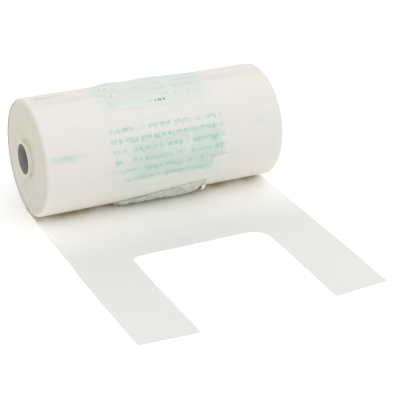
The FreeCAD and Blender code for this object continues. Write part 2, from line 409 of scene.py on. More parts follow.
def film_end_finish(name, colours):
    """Edges of the stacked film: fine rings about the core, with wider darker ones."""
    finish = Finish(name, 0.62, 0.25)
    base = colours.film_end
    x, turn, radius = roll_place(finish)
    turned = turn * 0.00002
    fine = finish.noise(finish.vector(radius, turned, 0.0), 1500.0, 2.0, 0.7)
    wide = finish.noise(finish.vector(radius, turned * 0.6, 5.0), 260.0)
    blotch = finish.noise(finish.vector(x, turn * 0.0006, radius), 30.0)
    finish.colour = finish.shades(finish.steps(wide, 0.30, 0.70), base, 0.965, 1.04)
    finish.wash(finish.steps(fine, 0.35, 0.75) * 0.35, shade(base, 0.90))
    finish.wash(finish.steps(blotch, 0.45, 0.75) * 0.3, shade(base, 1.10))
    finish.relief(fine + wide, 0.0004, 0.45)
    return finish.done()


def flat_film_finish(name, context):
    """Film lying flat: pale grey, a little warmer over the gussets, with painted light near the
    roll and a painted shadow at the nip.
    """
    sizes, base = context.scene.bag_roll_sizes, context.scene.bag_roll_colours.film_flat
    finish = Finish(name, 0.38, 0.35)
    u, v, _ = finish.place("UV")
    x = (u - 0.5) * LAYOUT_SPAN
    y = (v - 1.0) * LAYOUT_SPAN
    place = finish.vector(x, y, 0.0)
    clouds = finish.noise(place, 16.0, 3.0)
    pulls = finish.noise(finish.vector(x, y * 0.12, 3.0), 120.0)
    half = 0.5 * sizes.film_width
    inner = half - sizes.gusset_depth
    finish.colour = finish.shades(clouds, base, 0.955, 1.035)
    gusset = finish.steps(abs(x), inner - 0.003, inner + 0.006) * 0.45
    finish.wash(gusset, (0.722, 0.718, 0.700))
    # Painted light: lightens the film near the roll, where the roll shades it.
    painted_light_near_roll = finish.steps(y, -0.132, -0.030) * 0.92
    finish.wash(painted_light_near_roll, (0.990, 0.992, 0.965))
    # Painted shadow: a brownish dark band on the film where it meets the roll.
    painted_nip_shadow = finish.noise(finish.vector(x, y * 0.5, 6.0), 42.0)
    painted_nip_shadow = finish.steps(y, -0.033, -0.019) * finish.steps(painted_nip_shadow, 0.25, 0.65) * 0.75
    finish.wash(painted_nip_shadow, (0.62, 0.49, 0.20))
    edge = finish.steps(abs(x), half - 0.0022, half - 0.0002) * 0.18
    finish.wash(edge, shade(base, 0.86))
    finish.wash(finish.steps(pulls, 0.55, 0.8) * 0.25, shade(base, 1.10))
    finish.relief(pulls, 0.0003, 0.25)
    finish.relief(clouds, 0.0012, 0.4)
    finish.relief(finish.noise(place, 500.0), 0.00004, 0.4)
    return finish.done()


def board_finish(name, colours):
    """Spiral-wound grey-brown board, darkened in the bore partly as painted shade: fibres, the
    joint of each strip, and pale outer plies.
    """
    finish = Finish(name, 0.88, 0.2)
    x, turn, radius = roll_place(finish)
    place = finish.vector(x, turn * 0.0003, radius)
    fibres = finish.noise(place, 900.0, 4.0, 0.7)
    clouds = finish.noise(place, 70.0)
    spiral = finish.math("FRACT", x / 0.055 + turn / 360.0)
    joint = finish.within(spiral, 0.485, 0.515, 0.01)
    # Inside the bore the board colour is partly grey board and partly painted shade.
    finish.colour = finish.shades(fibres, colours.board, 0.80, 1.22)
    finish.wash(clouds * 0.4, shade(colours.board, 1.18))
    finish.wash(joint * 0.6, shade(colours.board, 0.62))
    pale = finish.shades(fibres, colours.paper, 0.90, 1.05)
    plies = finish.steps(finish.noise(finish.vector(radius, 0.0, 8.0), 1900.0, 1.0), 0.45, 0.60)
    pale = finish.mix(plies * 0.4, pale, shade(colours.paper, 0.80))
    past_bore = finish.steps(radius, CORE_BORE + 0.0002, CORE_BORE + 0.0006)
    finish.wash(past_bore, pale)
    finish.relief(fibres, 0.0002, 0.6)
    return finish.done()


def paper_finish(name, colours):
    """Pale paper: soft fibres and slightly dirty ends."""
    finish = Finish(name, 0.75, 0.25)
    x, turn, radius = roll_place(finish)
    place = finish.vector(x, turn * 0.0003, radius)
    fibres = finish.noise(place, 700.0, 4.0, 0.7)
    soil = finish.steps(finish.noise(place, 90.0, 3.0), 0.45, 0.8) * 0.35
    finish.colour = finish.shades(fibres, colours.paper, 0.93, 1.06)
    finish.wash(soil, shade(colours.paper, 0.72))
    finish.relief(fibres, 0.00015, 0.5)
    return finish.done()


# ---------------------------------------------------------------- film geometry


def smooth(value, low, high):
    """A smooth rise from 0 at low to 1 at high, for arrays."""
    share = np.clip((np.asarray(value, float) - low) / (high - low), 0.0, 1.0)
    return share * share * (3.0 - 2.0 * share)


def ripple(first, second, seed):
    """Smooth noise between -1 and 1 over a grid of places."""
    first, second = np.broadcast_arrays(np.asarray(first, float), np.asarray(second, float))
    flat = [noise.noise(Vector((a, b, seed))) for a, b in zip(first.ravel(), second.ravel())]
    return np.array(flat).reshape(first.shape)


def ridge(first, second, seed, power=4.0):
    """Thin raised lines over a grid of places, from 0 to 1."""
    return np.clip(1.0 - 1.6 * np.abs(ripple(first, second, seed)), 0.0, 1.0) ** power


def end_drop(sizes, x):
    """How far the film's surface has fallen towards the axis, near the ends of the roll."""
    reach = sizes.end_rounding
    into = np.clip(reach - (0.5 * sizes.film_width - np.abs(x)), 0.0, reach) / reach
    return 0.75 * reach * (1.0 - np.sqrt(np.clip(1.0 - into * into, 0.0, 1.0)))


def round_axis(x, radius, angle):
    """Points at distances from the core's axis, by wound angles in degrees."""
    turn = np.radians(angle)
    return np.stack([x, radius * np.sin(turn), -radius * np.cos(turn)], axis=-1)


def wound_points(sizes, x, angle, lift):
    """Points of the film's outside, from places along the core and wound angles."""
    sink = np.where(angle % 360.0 > 180.0, 0.5 + 0.5 * np.cos(np.radians(angle)), 0.0)
    layer = sizes.wrap * (np.floor(angle / 360.0) + sink)
    return round_axis(x, sizes.roll_radius - layer - end_drop(sizes, x) + lift, angle)


def columns(sizes, left_inner, right_inner, middle_count):
    """Places across the film, closer at the roll's ends, and the last one of the left side."""
    half = 0.5 * sizes.film_width
    close = np.array([0.0, 0.0003, 0.0008, 0.0015, 0.0024, 0.0034, 0.0048, 0.007])
    steps = np.concatenate([close, np.linspace(0.0095, half, SIDE_COLUMNS)]) / half
    left = -half + steps * (half - left_inner)
    right = half - steps[::-1] * (half - right_inner)
    middle = np.linspace(-left_inner, right_inner, middle_count + 1)
    return np.concatenate([left, middle[1:-1], right]), len(left) - 1


def film_place(x, along):
    """Where each point lies in the film's flat layout."""
    return np.stack([x / LAYOUT_SPAN + 0.5, along], axis=-1)


def film_shell(name, outside, inside, keep=None, place=None):
    """A closed thin film between two grids of points, made of the cells that are kept."""
    rows, across = outside.shape[:2]
    if keep is None:
        keep = np.ones((rows - 1, across - 1), bool)
    if place is None:
        place = outside[..., [0, 0]]
    used = np.zeros((rows, across), bool)
    for row in (slice(0, -1), slice(1, None)):
        for column in (slice(0, -1), slice(1, None)):
            used[row, column] |= keep
    number = -np.ones((rows, across), int)
    number[used] = np.arange(used.sum())
    count = int(used.sum())
    points = np.concatenate([outside[used], inside[used]])
    places = np.concatenate([place[used], place[used]])
    padded = np.zeros((rows + 1, across + 1), bool)
    padded[1:-1, 1:-1] = keep
    faces = []
    for i, j in zip(*np.nonzero(keep)):
        a, b, c, d = number[i, j], number[i, j + 1], number[i + 1, j + 1], number[i + 1, j]
        faces.append((a, b, c, d))
        faces.append((a + count, d + count, c + count, b + count))
        for beside, start, end in (
            (padded[i, j + 1], b, a),
            (padded[i + 2, j + 1], d, c),
            (padded[i + 1, j], a, d),
            (padded[i + 1, j + 2], c, b),
        ):
            if not beside:
                faces.append((start, end, end + count, start + count))
    return new_piece(name, points, faces, places)


def new_piece(name, points, faces, places=None, sharp=35.0):
    """A mesh object with consistent outward faces, smooth shading and sharp rims."""
    mesh = bpy.data.meshes.new(name)
    points = [tuple(map(float, point)) for point in points]
    mesh.from_pydata(points, [], [tuple(map(int, face)) for face in faces])
    if places is not None:
        layer = mesh.uv_layers.new(name="film")
        corners = np.zeros(len(mesh.loops), int)
        mesh.loops.foreach_get("vertex_index", corners)
        layer.data.foreach_set("uv", np.asarray(places, np.float32)[corners].ravel())
    shape = bmesh.new()
    shape.from_mesh(mesh)
    bmesh.ops.recalc_face_normals(shape, faces=shape.faces)
    shape.to_mesh(mesh)
    shape.free()
    mesh.polygons.foreach_set("use_smooth", [True] * len(mesh.polygons))
    mesh.set_sharp_from_angle(angle=math.radians(sharp))
    piece = bpy.data.objects.new(name, mesh)
    bpy.context.scene.collection.objects.link(piece)
    return piece


def rolled_film(name, sizes, x, angle, lift, thickness, keep=None, place=None):
    """Film wound on the roll, its outside lifted off the tight spiral."""
    outside = wound_points(sizes, x, angle, lift)
    inside = wound_points(sizes, x, angle, lift - thickness)
    return film_shell(name, outside, inside, keep, place)


def hanging_film(name, x, angle, radius, place=None):
    """A single ply of film beside the roll, kept clear of the flat film below it."""
    shells = []
    for part, room in ((HALF_PLY, ROOM_OUTSIDE), (-HALF_PLY, ROOM_INSIDE)):
        points = round_axis(x, radius + part, angle)
        points[..., 2] = np.maximum(points[..., 2], BODY_HIGH.z + room)
        shells.append(points)
    return film_shell(name, shells[0], shells[1], place=place)


def wrinkles(sizes, x, angle, seed):
    """Low wrinkles along the core, as wound film has, always outwards."""
    arc = np.radians(angle) * sizes.roll_radius
    low = 0.5 + 0.5 * ripple(x * 9.0, arc * 75.0, seed)
    lines = ridge(x * 6.0, arc * 110.0, seed + 3.0)
    return 0.00022 * low + 0.00016 * lines


def flat_piece(name, sizes, x, y):
    """Film lying on the floor, with low waves and slightly wavy edges."""
    away = smooth(y, -0.018, -0.07)
    half = 0.5 * sizes.film_width
    edge = smooth(np.abs(x), half - 0.03, half)
    waves = 0.5 + 0.5 * ripple(x * 20.0, y * 14.0, 71.0)
    edge_waves = 0.5 + 0.5 * ripple(x * 8.0, y * 60.0, 73.0)
    pulls = ridge(x * 60.0, y * 9.0, 75.0)
    lift = 0.00030 * waves * (1.0 - edge) + 0.00020 * edge * edge_waves + 0.00012 * pulls
    sway = 0.0007 * ripple(y * 30.0, x * 0.0, 77.0) + 0.0003 * ripple(y * 140.0, x * 0.0, 79.0)
    swayed = x + away * edge * sway
    thick = 0.85 * (BODY_HIGH.z - BODY_LOW.z)
    top = BODY_LOW.z + 0.00002 + thick + away * lift
    outside = np.stack([swayed, y, top], axis=-1)
    inside = np.stack([swayed, y, top - thick], axis=-1)
    return film_shell(name, outside, inside, place=film_place(x, y / LAYOUT_SPAN + 1.0))


# ---------------------------------------------------------------- operators


class BAGROLL_OT_stage(bpy.types.Operator):
    """Camera, soft studio light and pale floor"""

    bl_idname = "bagroll.stage"
    bl_label = "Stage"

    def execute(self, context):
        scene = context.scene
        scene.view_settings.view_transform = "Standard"
        self.camera(scene)
        world = bpy.data.worlds.new("studio")
        scene.world = world
        world.use_nodes = True
        light = world.node_tree.nodes["Background"].inputs
        light["Color"].default_value = (1.0, 1.0, 1.0, 1.0)
        light["Strength"].default_value = 1.0
        self.soft_light(scene, "overhead", (0.25, -1.0, 1.3), 1.6, 4.6)
        self.soft_light(scene, "front", (0.6, -1.7, 0.28), 1.2, 1.0)
        self.floor(scene)
        return {"FINISHED"}

    def camera(self, scene):
        eye = bpy.data.cameras.new("view")
        eye.lens = 112.13
        eye.sensor_width = 36.0
        eye.clip_start = 0.05
        eye.clip_end = 50.0
        camera = bpy.data.objects.new("view", eye)
        scene.collection.objects.link(camera)
        right = Vector((0.89484, -0.44560, 0.02641))
        up = Vector((0.18005, 0.41444, 0.89209))
        back = -Vector((0.40846, 0.79353, -0.45109))
        turn = Matrix((right, up, back)).transposed().to_4x4()
        camera.matrix_world = Matrix.Translation((-0.50908, -1.12141, 0.54837)) @ turn
        scene.camera = camera

    def soft_light(self, scene, name, place, size, power):
        lamp = bpy.data.lights.new(name, "AREA")
        lamp.shape = "DISK"
        lamp.size = size
        lamp.energy = power
        light = bpy.data.objects.new(name, lamp)
        scene.collection.objects.link(light)
        light.location = place
        light.rotation_euler = (-Vector(place)).to_track_quat("-Z", "Y").to_euler()

    def floor(self, scene):
        """A wide pale floor with a slight glow, level with the underside of the flat film."""
        side, level = 6.0, BODY_LOW.z
        corners = [(-side, -side), (side, -side), (side, side), (-side, side)]
        mesh = bpy.data.meshes.new("floor")
        mesh.from_pydata([(x, y, level) for x, y in corners], [], [(0, 1, 2, 3)])
        floor = bpy.data.objects.new("floor", mesh)
        scene.collection.objects.link(floor)
        finish = Finish("pale_floor", 0.9, 0.1)
        x, y, _ = finish.place()
        soft = finish.noise(finish.vector(x, y, 0.0), 3.0)
        finish.shader.inputs["Emission Color"].default_value = (1.0, 1.0, 1.0, 1.0)
        finish.shader.inputs["Emission Strength"].default_value = 0.07
        finish.colour = finish.mix(soft, (0.955, 0.955, 0.955), (0.975, 0.975, 0.975))
        mesh.materials.append(finish.done())


class BAGROLL_OT_core(bpy.types.Operator):
    """Finishes of the core tube and its paper ply"""

    bl_idname = "bagroll.core"
    bl_label = "Core"

    def execute(self, context):
        colours = context.scene.bag_roll_colours
        finishes = {
            "core_tube": board_finish("core_board", colours),
            "core_facing": paper_finish("core_paper", colours),
        }
        for node, material in finishes.items():
            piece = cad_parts[node]
            for slot in piece.material_slots:
                slot.material = material
            softened = piece.modifiers.new("edge", "BEVEL")
            softened.width = 0.0002
            softened.segments = 2
            softened.limit_method = "ANGLE"
            softened.harden_normals = True
        return {"FINISHED"}


class BAGROLL_OT_pack(bpy.types.Operator):
    """The wound bags under the second bag, with the film edges at both ends"""

    bl_idname = "bagroll.pack"
    bl_label = "Wound pack"

    def execute(self, context):
        sizes = context.scene.bag_roll_sizes
        turn = np.linspace(0.0, 360.0, 360, endpoint=False)
        around = len(turn)
        half = 0.5 * sizes.film_width
        face_x = half - PACK_INSET
        outer = sizes.roll_radius - PACK_DEPTH
        drop = 0.75 * sizes.end_rounding
        face = np.linspace(CORE_HIGH.z + 0.00006, outer - drop - 0.0005, 104)
        profile = [(None, radius) for radius in face]
        for bend in np.radians([12, 26, 42, 58, 74, 90]):
            in_from_end = sizes.end_rounding * (1 - math.cos(bend))
            profile.append((face_x - in_from_end, outer - drop * (1 - math.sin(bend))))
        inward = np.linspace(half - sizes.end_rounding - 0.002, 0.0, 62)
        profile += [(place, outer) for place in inward]
        mirrored = [(None if x is None else -x, radius) for x, radius in profile[-2::-1]]
        rings = []
        for index, (x, radius) in enumerate(profile + mirrored):
            if x is not None:
                rings.append(self.film_ring(sizes, x, radius, turn))
            elif index < len(profile):
                rings.append(round_axis(face_x - self.end_relief(radius, turn, 4.0), radius, turn))
            else:
                rings.append(round_axis(self.end_relief(radius, turn, 11.0) - face_x, radius, turn))
        count = len(rings)
        faces = []
        for i in range(count):
            after = (i + 1) % count
            for j in range(around):
                k = (j + 1) % around
                ring, beside = i * around, after * around
                faces.append((ring + j, beside + j, beside + k, ring + k))
        piece = new_piece("wound_pack", np.concatenate(rings), faces, sharp=60.0)
        piece.data.materials.append(wound_film_finish("film_wrap_inner", context))
        edges = film_end_finish("film_edges", context.scene.bag_roll_colours)
        piece.data.materials.append(edges)
        at_end = np.zeros((count, around), int)
        at_end[: len(face) - 1] = 1
        at_end[count - len(face) :] = 1
        piece.data.polygons.foreach_set("material_index", at_end.ravel())
        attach(piece, "roll")
        hidden = [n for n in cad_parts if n.startswith(("bag_03", "bag_04"))]
        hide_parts("wound_bags", *hidden)
        return {"FINISHED"}

    def film_ring(self, sizes, x, radius, turn):
        """A ring of the pack's outside, raised under the handles and in the mouth."""
        mouth = 0.5 * sizes.film_width - sizes.handle_width
        sink = sizes.wrap * (0.5 + 0.5 * np.cos(np.radians(turn)))
        calm = smooth(0.5 * sizes.film_width - abs(x), 0.004, 0.012)
        raised = smooth(turn, 273.2, 274.9) * smooth(turn, 359.0, 350.0)
        clear = np.maximum(smooth(abs(x), 0.0525, 0.0545), smooth(turn, 299.6, 301.4))
        in_mouth = smooth(abs(x), mouth + 0.002, mouth - 0.001) * smooth(turn, 322.0, 318.0)
        x = np.full(len(turn), x)
        ring = radius + calm * (1.0 - 0.8 * raised) * (wrinkles(sizes, x, turn, 21.0) - 0.00036)
        in_clear = clear * (0.00075 - sink + 0.00005 * in_mouth)
        return round_axis(x, ring + raised * (in_clear + 0.00040 * (1.0 - clear)), turn)

    def end_relief(self, radius, turn, seed):
        """How far a ring of film edges lies inside the end of the roll."""
        from_axis = radius * 1000.0
        steps = 0.75 * smooth(from_axis, 21.0, 23.5) - 0.40 * smooth(from_axis, 25.5, 28.0)
        steps += 0.55 * smooth(from_axis, 32.0, 33.0) - 0.7 * smooth(from_axis, 35.0, 38.0)
        steps -= 0.2 * smooth(from_axis, 50.0, 52.0)
        angle = np.radians(turn)
        slow = ripple(np.cos(angle) * 0.8 + radius * 240.0, np.sin(angle) * 0.8, seed)
        fine = noise.noise(Vector((radius * 1400.0, seed, 0.0)))
        return 0.001 * np.maximum(0.0, 0.25 + 0.7 * steps + 0.22 * slow + 0.14 * fine)


class BAGROLL_OT_second_bag(bpy.types.Operator):
    """The second bag, wound over the pack, with its handles either side of its mouth"""

    bl_idname = "bagroll.second_bag"
    bl_label = "Second bag"

    def execute(self, context):
        sizes = context.scene.bag_roll_sizes
        start, base, end = SECOND_BAG_START, SECOND_BAG_MOUTH, SECOND_BAG_END
        mouth = 0.5 * sizes.film_width - sizes.handle_width
        rounding = sizes.mouth_corner
        corner = math.degrees(rounding / sizes.roll_radius)
        handle_rows = np.linspace(start, base - corner, 78)
        corner_rows = base - corner * (1 - np.linspace(0, 1, 14)[1:])
        angles = np.concatenate([handle_rows, corner_rows, np.linspace(base, end, 200)[1:]])
        x_rows = []
        for angle in angles:
            inner = mouth - rounding
            if angle < base:
                along = max(0.0, (angle - (base - corner)) / corner) * rounding
                inner = mouth - (rounding - math.sqrt(max(0.0, rounding**2 - along**2)))
            row, side = columns(sizes, inner, inner, 64)
            x_rows.append(row)
        x = np.array(x_rows)
        angle = np.repeat(angles[:, None], x.shape[1], axis=1)
        keep = np.ones((len(angles) - 1, x.shape[1] - 1), bool)
        in_mouth = len(handle_rows) + len(corner_rows) - 1
        keep[:in_mouth, side : x.shape[1] - 1 - side] = False

        beside = smooth(np.abs(x), mouth + 0.006, mouth) * smooth(angle, base + 3.0, base - 3.0)
        hem = smooth(np.abs(x), mouth + 0.002, mouth - 0.002) * smooth(angle, base + 4.5, base)
        hem = hem * (angle > base - 0.01)
        beside = np.maximum(np.maximum(beside, hem), smooth(angle, start + 6.0, start))
        lift = (wrinkles(sizes, x, angle, 5.0) - 0.0001) * smooth(angle, start, start + 12.0)
        lift = lift * (1.0 - beside) - 0.00029 * beside
        inside_turn = smooth(angle, 360.0, 372.0)
        inner_lift = self.inner_lift(sizes, x, angle, mouth)
        lift = lift * (1.0 - inside_turn) + inside_turn * inner_lift
        thickness = sizes.film_thickness - EDGE_THINNING * beside
        place = film_place(x, np.radians(angle) * sizes.roll_radius)
        piece = rolled_film("second_bag", sizes, x, angle, lift, thickness, keep, place)
        piece.data.materials.append(wound_film_finish("film_wrap_printed", context, "rows"))
        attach(piece, "roll")
        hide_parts("bag_02", "bag_02_ties_left", "bag_02_ties_right")
        self.seal(context)
        self.tongue(context)
        return {"FINISHED"}

    def inner_lift(self, sizes, x, angle, mouth):
        """Lift of the inner turn: level with its own mouth, and loose where the mouth shows it."""
        position = angle % 360.0
        across = np.abs(x)
        opening = smooth(position, 190.5, 196.0) * smooth(position, 322.0, 314.0)
        window = smooth(across, mouth - 0.001, mouth - 0.012) * opening
        window = window * smooth(position, 219.0, 229.0)
        window = window * smooth(angle, SECOND_BAG_END - 1.0, SECOND_BAG_END - 11.0)
        by_mouth = smooth(across, mouth + 0.004, mouth + 0.0005) * smooth(position, 186.0, 190.0)
        raised = 0.00006 * by_mouth - 0.00010 * smooth(angle, SECOND_BAG_END - 4.0, SECOND_BAG_END)
        raised = raised + 0.00014 * smooth(across, mouth - 0.0005, mouth - 0.006) * opening
        arc = np.radians(angle) * sizes.roll_radius
        loose = 0.0005 * (0.5 + 0.5 * ripple(x * 22.0, arc * 38.0, 61.0))
        loose = loose + 0.0007 * ridge(x * 16.0, arc * 55.0, 66.0, 6.0)
        return raised - 0.00003 + window * loose

    def seal(self, context):
        """Bottom seal of the second bag, in its mouth window."""
        sizes = context.scene.bag_roll_sizes
        end = SECOND_BAG_END
        half = 0.5 * sizes.film_width
        span = math.degrees(sizes.seal_width / sizes.roll_radius)
        across = np.linspace(-half + 0.004, half - 0.004, 60)
        x, angle = np.meshgrid(across, np.linspace(end - span, end, 12))
        mouth = half - sizes.handle_width
        lift = 0.00003 + 0.00006 * smooth(np.abs(x), mouth + 0.004, mouth + 0.0005)
        lift = lift + 0.00014 * smooth(np.abs(x), mouth - 0.0005, mouth - 0.006)
        lift = lift - 0.00010 * smooth(angle, end - 4.0, end)
        piece = rolled_film("second_bag_seal", sizes, x, angle, lift, 0.00008)
        finish = wound_film_finish("film_seal_inner", context, "seal_in_rows")
        piece.data.materials.append(finish)
        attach(piece, "roll")
        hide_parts("bag_02_seal")
        return piece

    def tongue(self, context):
        """The tongue past the second bag's seal."""
        sizes = context.scene.bag_roll_sizes
        half = sizes.tongue_half_width
        share = np.linspace(0.0, 1.0, 26)[:, None]
        x = np.linspace(-half, half, 60)[None, :] * (1.0 - 0.03 * share)
        x = x + 0.0006 * ripple(share * 9.0, x * 40.0, 9.0)
        angle = SECOND_BAG_END - 0.05 + share * (24.3 + 1.0 * ripple(x * 60.0, 0.0, 7.0))
        calm = smooth(share, 1.0, 0.8) * smooth(np.abs(x), half, half - 0.006)
        low = 0.00008 - 0.00006 * smooth(np.abs(x), half - 0.004, half)
        folds = 0.0001 + 0.0005 * ridge(x * 30.0, share * 3.0, 5.0)
        lift = low + calm * folds * smooth(share, 0.0, 0.1)
        piece = rolled_film("second_bag_tongue", sizes, x, angle, lift, 0.00009)
        piece.data.materials.append(wound_film_finish("film_wrap_tongue", context, "rows"))
        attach(piece, "roll")
        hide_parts("bag_02_skirt")
        return piece


class BAGROLL_OT_mouth_flap(bpy.types.Operator):
    """The puckered edge of the second bag's mouth, hanging from the roll onto the flat film"""

    bl_idname = "bagroll.mouth_flap"
    bl_label = "Mouth flap"

    def execute(self, context):
        sizes = context.scene.bag_roll_sizes
        left, right, length = -0.049, 0.050, 0.036
        x_line = np.linspace(left, right, 190)[None, :]
        share = np.linspace(0.0, 1.0, 46)[:, None]
        top = np.interp(
            x_line, [left, -0.025, 0.0, 0.03, right], [331.0, 322.0, 314.0, 308.0, 306.0]
        )
        top = top + 2.4 * ripple(x_line * 110.0, 0.0, 31.0)
        top = top + 1.2 * ripple(x_line * 300.0, 0.0, 33.0)
        low = np.interp(
            x_line,
            [left, -0.040, -0.01, 0.03, 0.043, right],
            [339.0, 343.0, 341.5, 339.0, 336.0, 328.0],
        )
        low = low + 2.0 * ripple(x_line * 130.0, 0.0, 35.0)
        low = low + 1.2 * ripple(x_line * 340.0, 0.0, 37.0)
        angle = top * (1.0 - share) + low * share
        x = x_line + 0.0016 * ripple(x_line * 60.0, share * 4.0, 39.0) * smooth(share, 0.0, 0.4)
        folds = 0.5 + 0.5 * ripple(x * 40.0, share * 4.0 + x * 20.0, 41.0)
        crumple = ridge(x * 26.0 + share * 2.0, share * 6.5 + x * 34.0, 47.0, 3.0)
        gathers = ridge(x * 70.0 + share * 4.0, share * 8.0 - x * 60.0, 49.0, 3.0)
        side = np.minimum(np.linspace(0, 1, 190), np.linspace(1, 0, 190))[None, :]
        free = smooth(share, 0.0, 0.30) * smooth(side, 0.0, 0.10)
        calm = smooth(share, 1.0, 0.93)
        stand = 0.0005 + 0.0026 * smooth(share, 0.3, 0.85)
        creased = calm * (0.0024 * crumple + 0.0013 * gathers)
        lift = free * (stand * (0.45 + 0.55 * folds) + creased)
        base = sizes.roll_radius - 0.00002 - 0.00038 * smooth(angle, 322.5, 316.0)
        place = np.stack([x, angle / 360.0], axis=-1)
        piece = hanging_film("mouth_flap", x, angle, base + lift, place)
        piece.data.materials.append(wound_film_finish("film_flap", context, "flap"))
        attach(piece, "roll")
        slivers = [
            self.sliver("mouth_sliver_left", context, (-0.047, 338.0), (-0.040, 345.5), 0.0016),
            self.sliver("mouth_sliver_right", context, (0.050, 318.0), (0.052, 334.0), 0.0026),
        ]
        return {"FINISHED"}

    def sliver(self, name, context, start, end, width):
        """A torn sliver of film hanging from the mouth's edge."""
        share = np.linspace(0.0, 1.0, 14)[:, None]
        across = np.linspace(-1.0, 1.0, 5)[None, :]
        narrow = width * (1.0 - 0.65 * share)
        x = start[0] + (end[0] - start[0]) * share + narrow * across + 0.0006 * np.sin(share * 7.0)
        angle = start[1] + (end[1] - start[1]) * share + 0.0 * across
        lift = 0.0008 + 0.0030 * np.sin(share * 2.6) + 0.0004 * across * across
        radius = context.scene.bag_roll_sizes.roll_radius + lift
        piece = hanging_film(name, x, angle, radius)
        piece.data.materials.append(wound_film_finish(name + "_film", context))
        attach(piece, "roll")
        return piece


class BAGROLL_OT_first_bag_wrap(bpy.types.Operator):
    """The part of the first bag still on the roll, with its loose end, tongue and seal"""

    bl_idname = "bagroll.first_bag_wrap"
    bl_label = "First bag on the roll"

    def execute(self, context):
        sizes = context.scene.bag_roll_sizes
        start, end = FIRST_BAG_START, FIRST_BAG_END
        half = sizes.tongue_half_width
        body = np.concatenate([np.linspace(start, 120.0, 52)[:-1], np.linspace(120.0, end, 58)])
        tongue = np.linspace(0.0, 1.0, 26)[1:]
        row, side = columns(sizes, half, half, 92)
        reach = np.interp(row, [-half, -0.03, 0.0, 0.03, half], [211.5, 214.0, 215.0, 216.0, 218.0])
        reach = reach + 0.7 * ripple(row * 130.0, 0.0, 13.0)
        reach = reach + 0.5 * ripple(row * 420.0, 0.0, 15.0)
        on_body = np.repeat(body[:, None], len(row), axis=1)
        angle = np.concatenate([on_body, end + tongue[:, None] * (reach - end)])
        x = np.tile(row, (len(angle), 1))
        keep = np.ones((len(angle) - 1, len(row) - 1), bool)
        keep[len(body) - 1 :, :side] = False
        keep[len(body) - 1 :, len(row) - 1 - side :] = False
        past = np.clip((angle - end) / 25.0, 0.0, 1.0)
        wander = 0.0042 * ripple(angle * 0.22, x * 12.0, 17.0)
        wander = wander + 0.0016 * ripple(angle * 0.8, x * 20.0, 18.0)
        x = x + past * wander * (np.abs(x) < half + 1e-6)
        last = smooth(np.clip((angle - end) / (reach - end), 0.0, 1.0), 0.70, 1.0)
        lift = self.end_lift(sizes, x, angle, last)
        thickness = sizes.film_thickness - EDGE_THINNING * smooth(angle, end - 5.0, end)
        place = film_place(x, np.radians(angle) * sizes.roll_radius)
        piece = rolled_film("first_bag_wrap", sizes, x, angle, lift, thickness, keep, place)
        piece.data.materials.append(wound_film_finish("film_wrap_end", context, "end"))
        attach(piece, "roll")
        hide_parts("bag_01_wound", "bag_01_skirt")
        [self.seal(context)] + self.ties(context)
        return {"FINISHED"}

    def end_lift(self, sizes, x, angle, last):
        """Lift of the film's outside, thinning out to the bottom edge and round the tongue."""
        end = FIRST_BAG_END
        half = sizes.tongue_half_width
        edge = smooth(angle, end - 6.0, end - 1.0) * smooth(np.abs(x), half - 0.007, half - 0.001)
        beyond = smooth(np.abs(x), half - 0.0005, half + 0.0025)
        ending = smooth(angle, end - 5.0, end) * beyond
        rim = np.maximum(edge, last) * (1.0 - beyond)
        lift = self.surface(sizes, x, angle) * (1.0 - np.maximum(rim, ending))
        return lift - 0.00028 * ending - 0.00014 * rim * smooth(angle, end - 3.0, end + 2.0)

    def surface(self, sizes, x, angle):
        """Lift of the film's outside: low wrinkles and the loose end, calm beside the tongue.

        The height is capped near the end, so that the film clears the flat film under the roll
        once the roll has turned as far as it goes.
        """
        half = sizes.tongue_half_width
        calm = np.maximum(smooth(angle, 189.0, 178.0), smooth(np.abs(x), half, half - 0.006))
        calm = calm * smooth(angle, 14.0, 40.0)
        lift = wrinkles(sizes, x, angle, 2.0) * calm + self.puff(sizes, x, angle)
        away = np.radians(np.minimum(np.abs(angle - 190.0), 50.0))
        return np.minimum(lift, (sizes.roll_radius + 0.00022) / np.cos(away) - sizes.roll_radius)

    def puff(self, sizes, x, angle):
        """How far the loose, crinkled end stands off the roll."""
        edge = -0.044 - 0.009 * (angle - 160.0) / 51.0
        edge = edge + 0.0035 * ripple(angle * 0.16, 0.0, 51.0)
        edge = edge + 0.0014 * ripple(angle * 0.6, 0.0, 53.0)
        spread = smooth(x - edge, -0.0015, 0.011) * smooth(x, 0.062, 0.005)
        spread = spread * smooth(angle, 118.0, 168.0) * (1.0 - 0.72 * smooth(angle, 190.0, 214.0))
        arc = np.radians(angle) * sizes.roll_radius
        swell = 0.70 + 0.30 * ripple(x * 26.0, arc * 30.0, 55.0)
        near_edge = smooth(np.abs(x - edge - 0.004), 0.016, 0.002) * smooth(angle, 128.0, 150.0)
        gathers = ridge(x * 40.0, arc * 190.0, 57.0, 2.0)
        gathers = gathers + 0.7 * ridge(x * 90.0, arc * 120.0, 58.0, 3.0)
        gathered = near_edge * gathers * smooth(angle, 216.0, 205.0)
        folds = ridge(x * 34.0 + arc * 30.0, arc * 48.0, 59.0, 5.0)
        return spread * (sizes.puff * swell + 0.0007 * folds) + 0.0010 * gathered

    def seal(self, context):
        """Bottom seal of the first bag, pressed across its whole width."""
        sizes = context.scene.bag_roll_sizes
        end = FIRST_BAG_END
        within = 0.5 * sizes.film_width - 0.0036
        span = math.degrees(sizes.seal_width / sizes.roll_radius)
        row, _ = columns(sizes, sizes.tongue_half_width, sizes.tongue_half_width, 92)
        row = np.unique(np.clip(row, -within, within))
        x, angle = np.meshgrid(row, np.linspace(end - span, end - 0.4, 14))
        lift = self.end_lift(sizes, x, angle, np.zeros(x.shape))
        piece = rolled_film("first_bag_seal", sizes, x, angle, lift + 0.00003, 0.00006)
        piece.data.materials.append(wound_film_finish("film_seal_first", context, "seal"))
        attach(piece, "roll")
        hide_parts("bag_01_seal")
        return piece

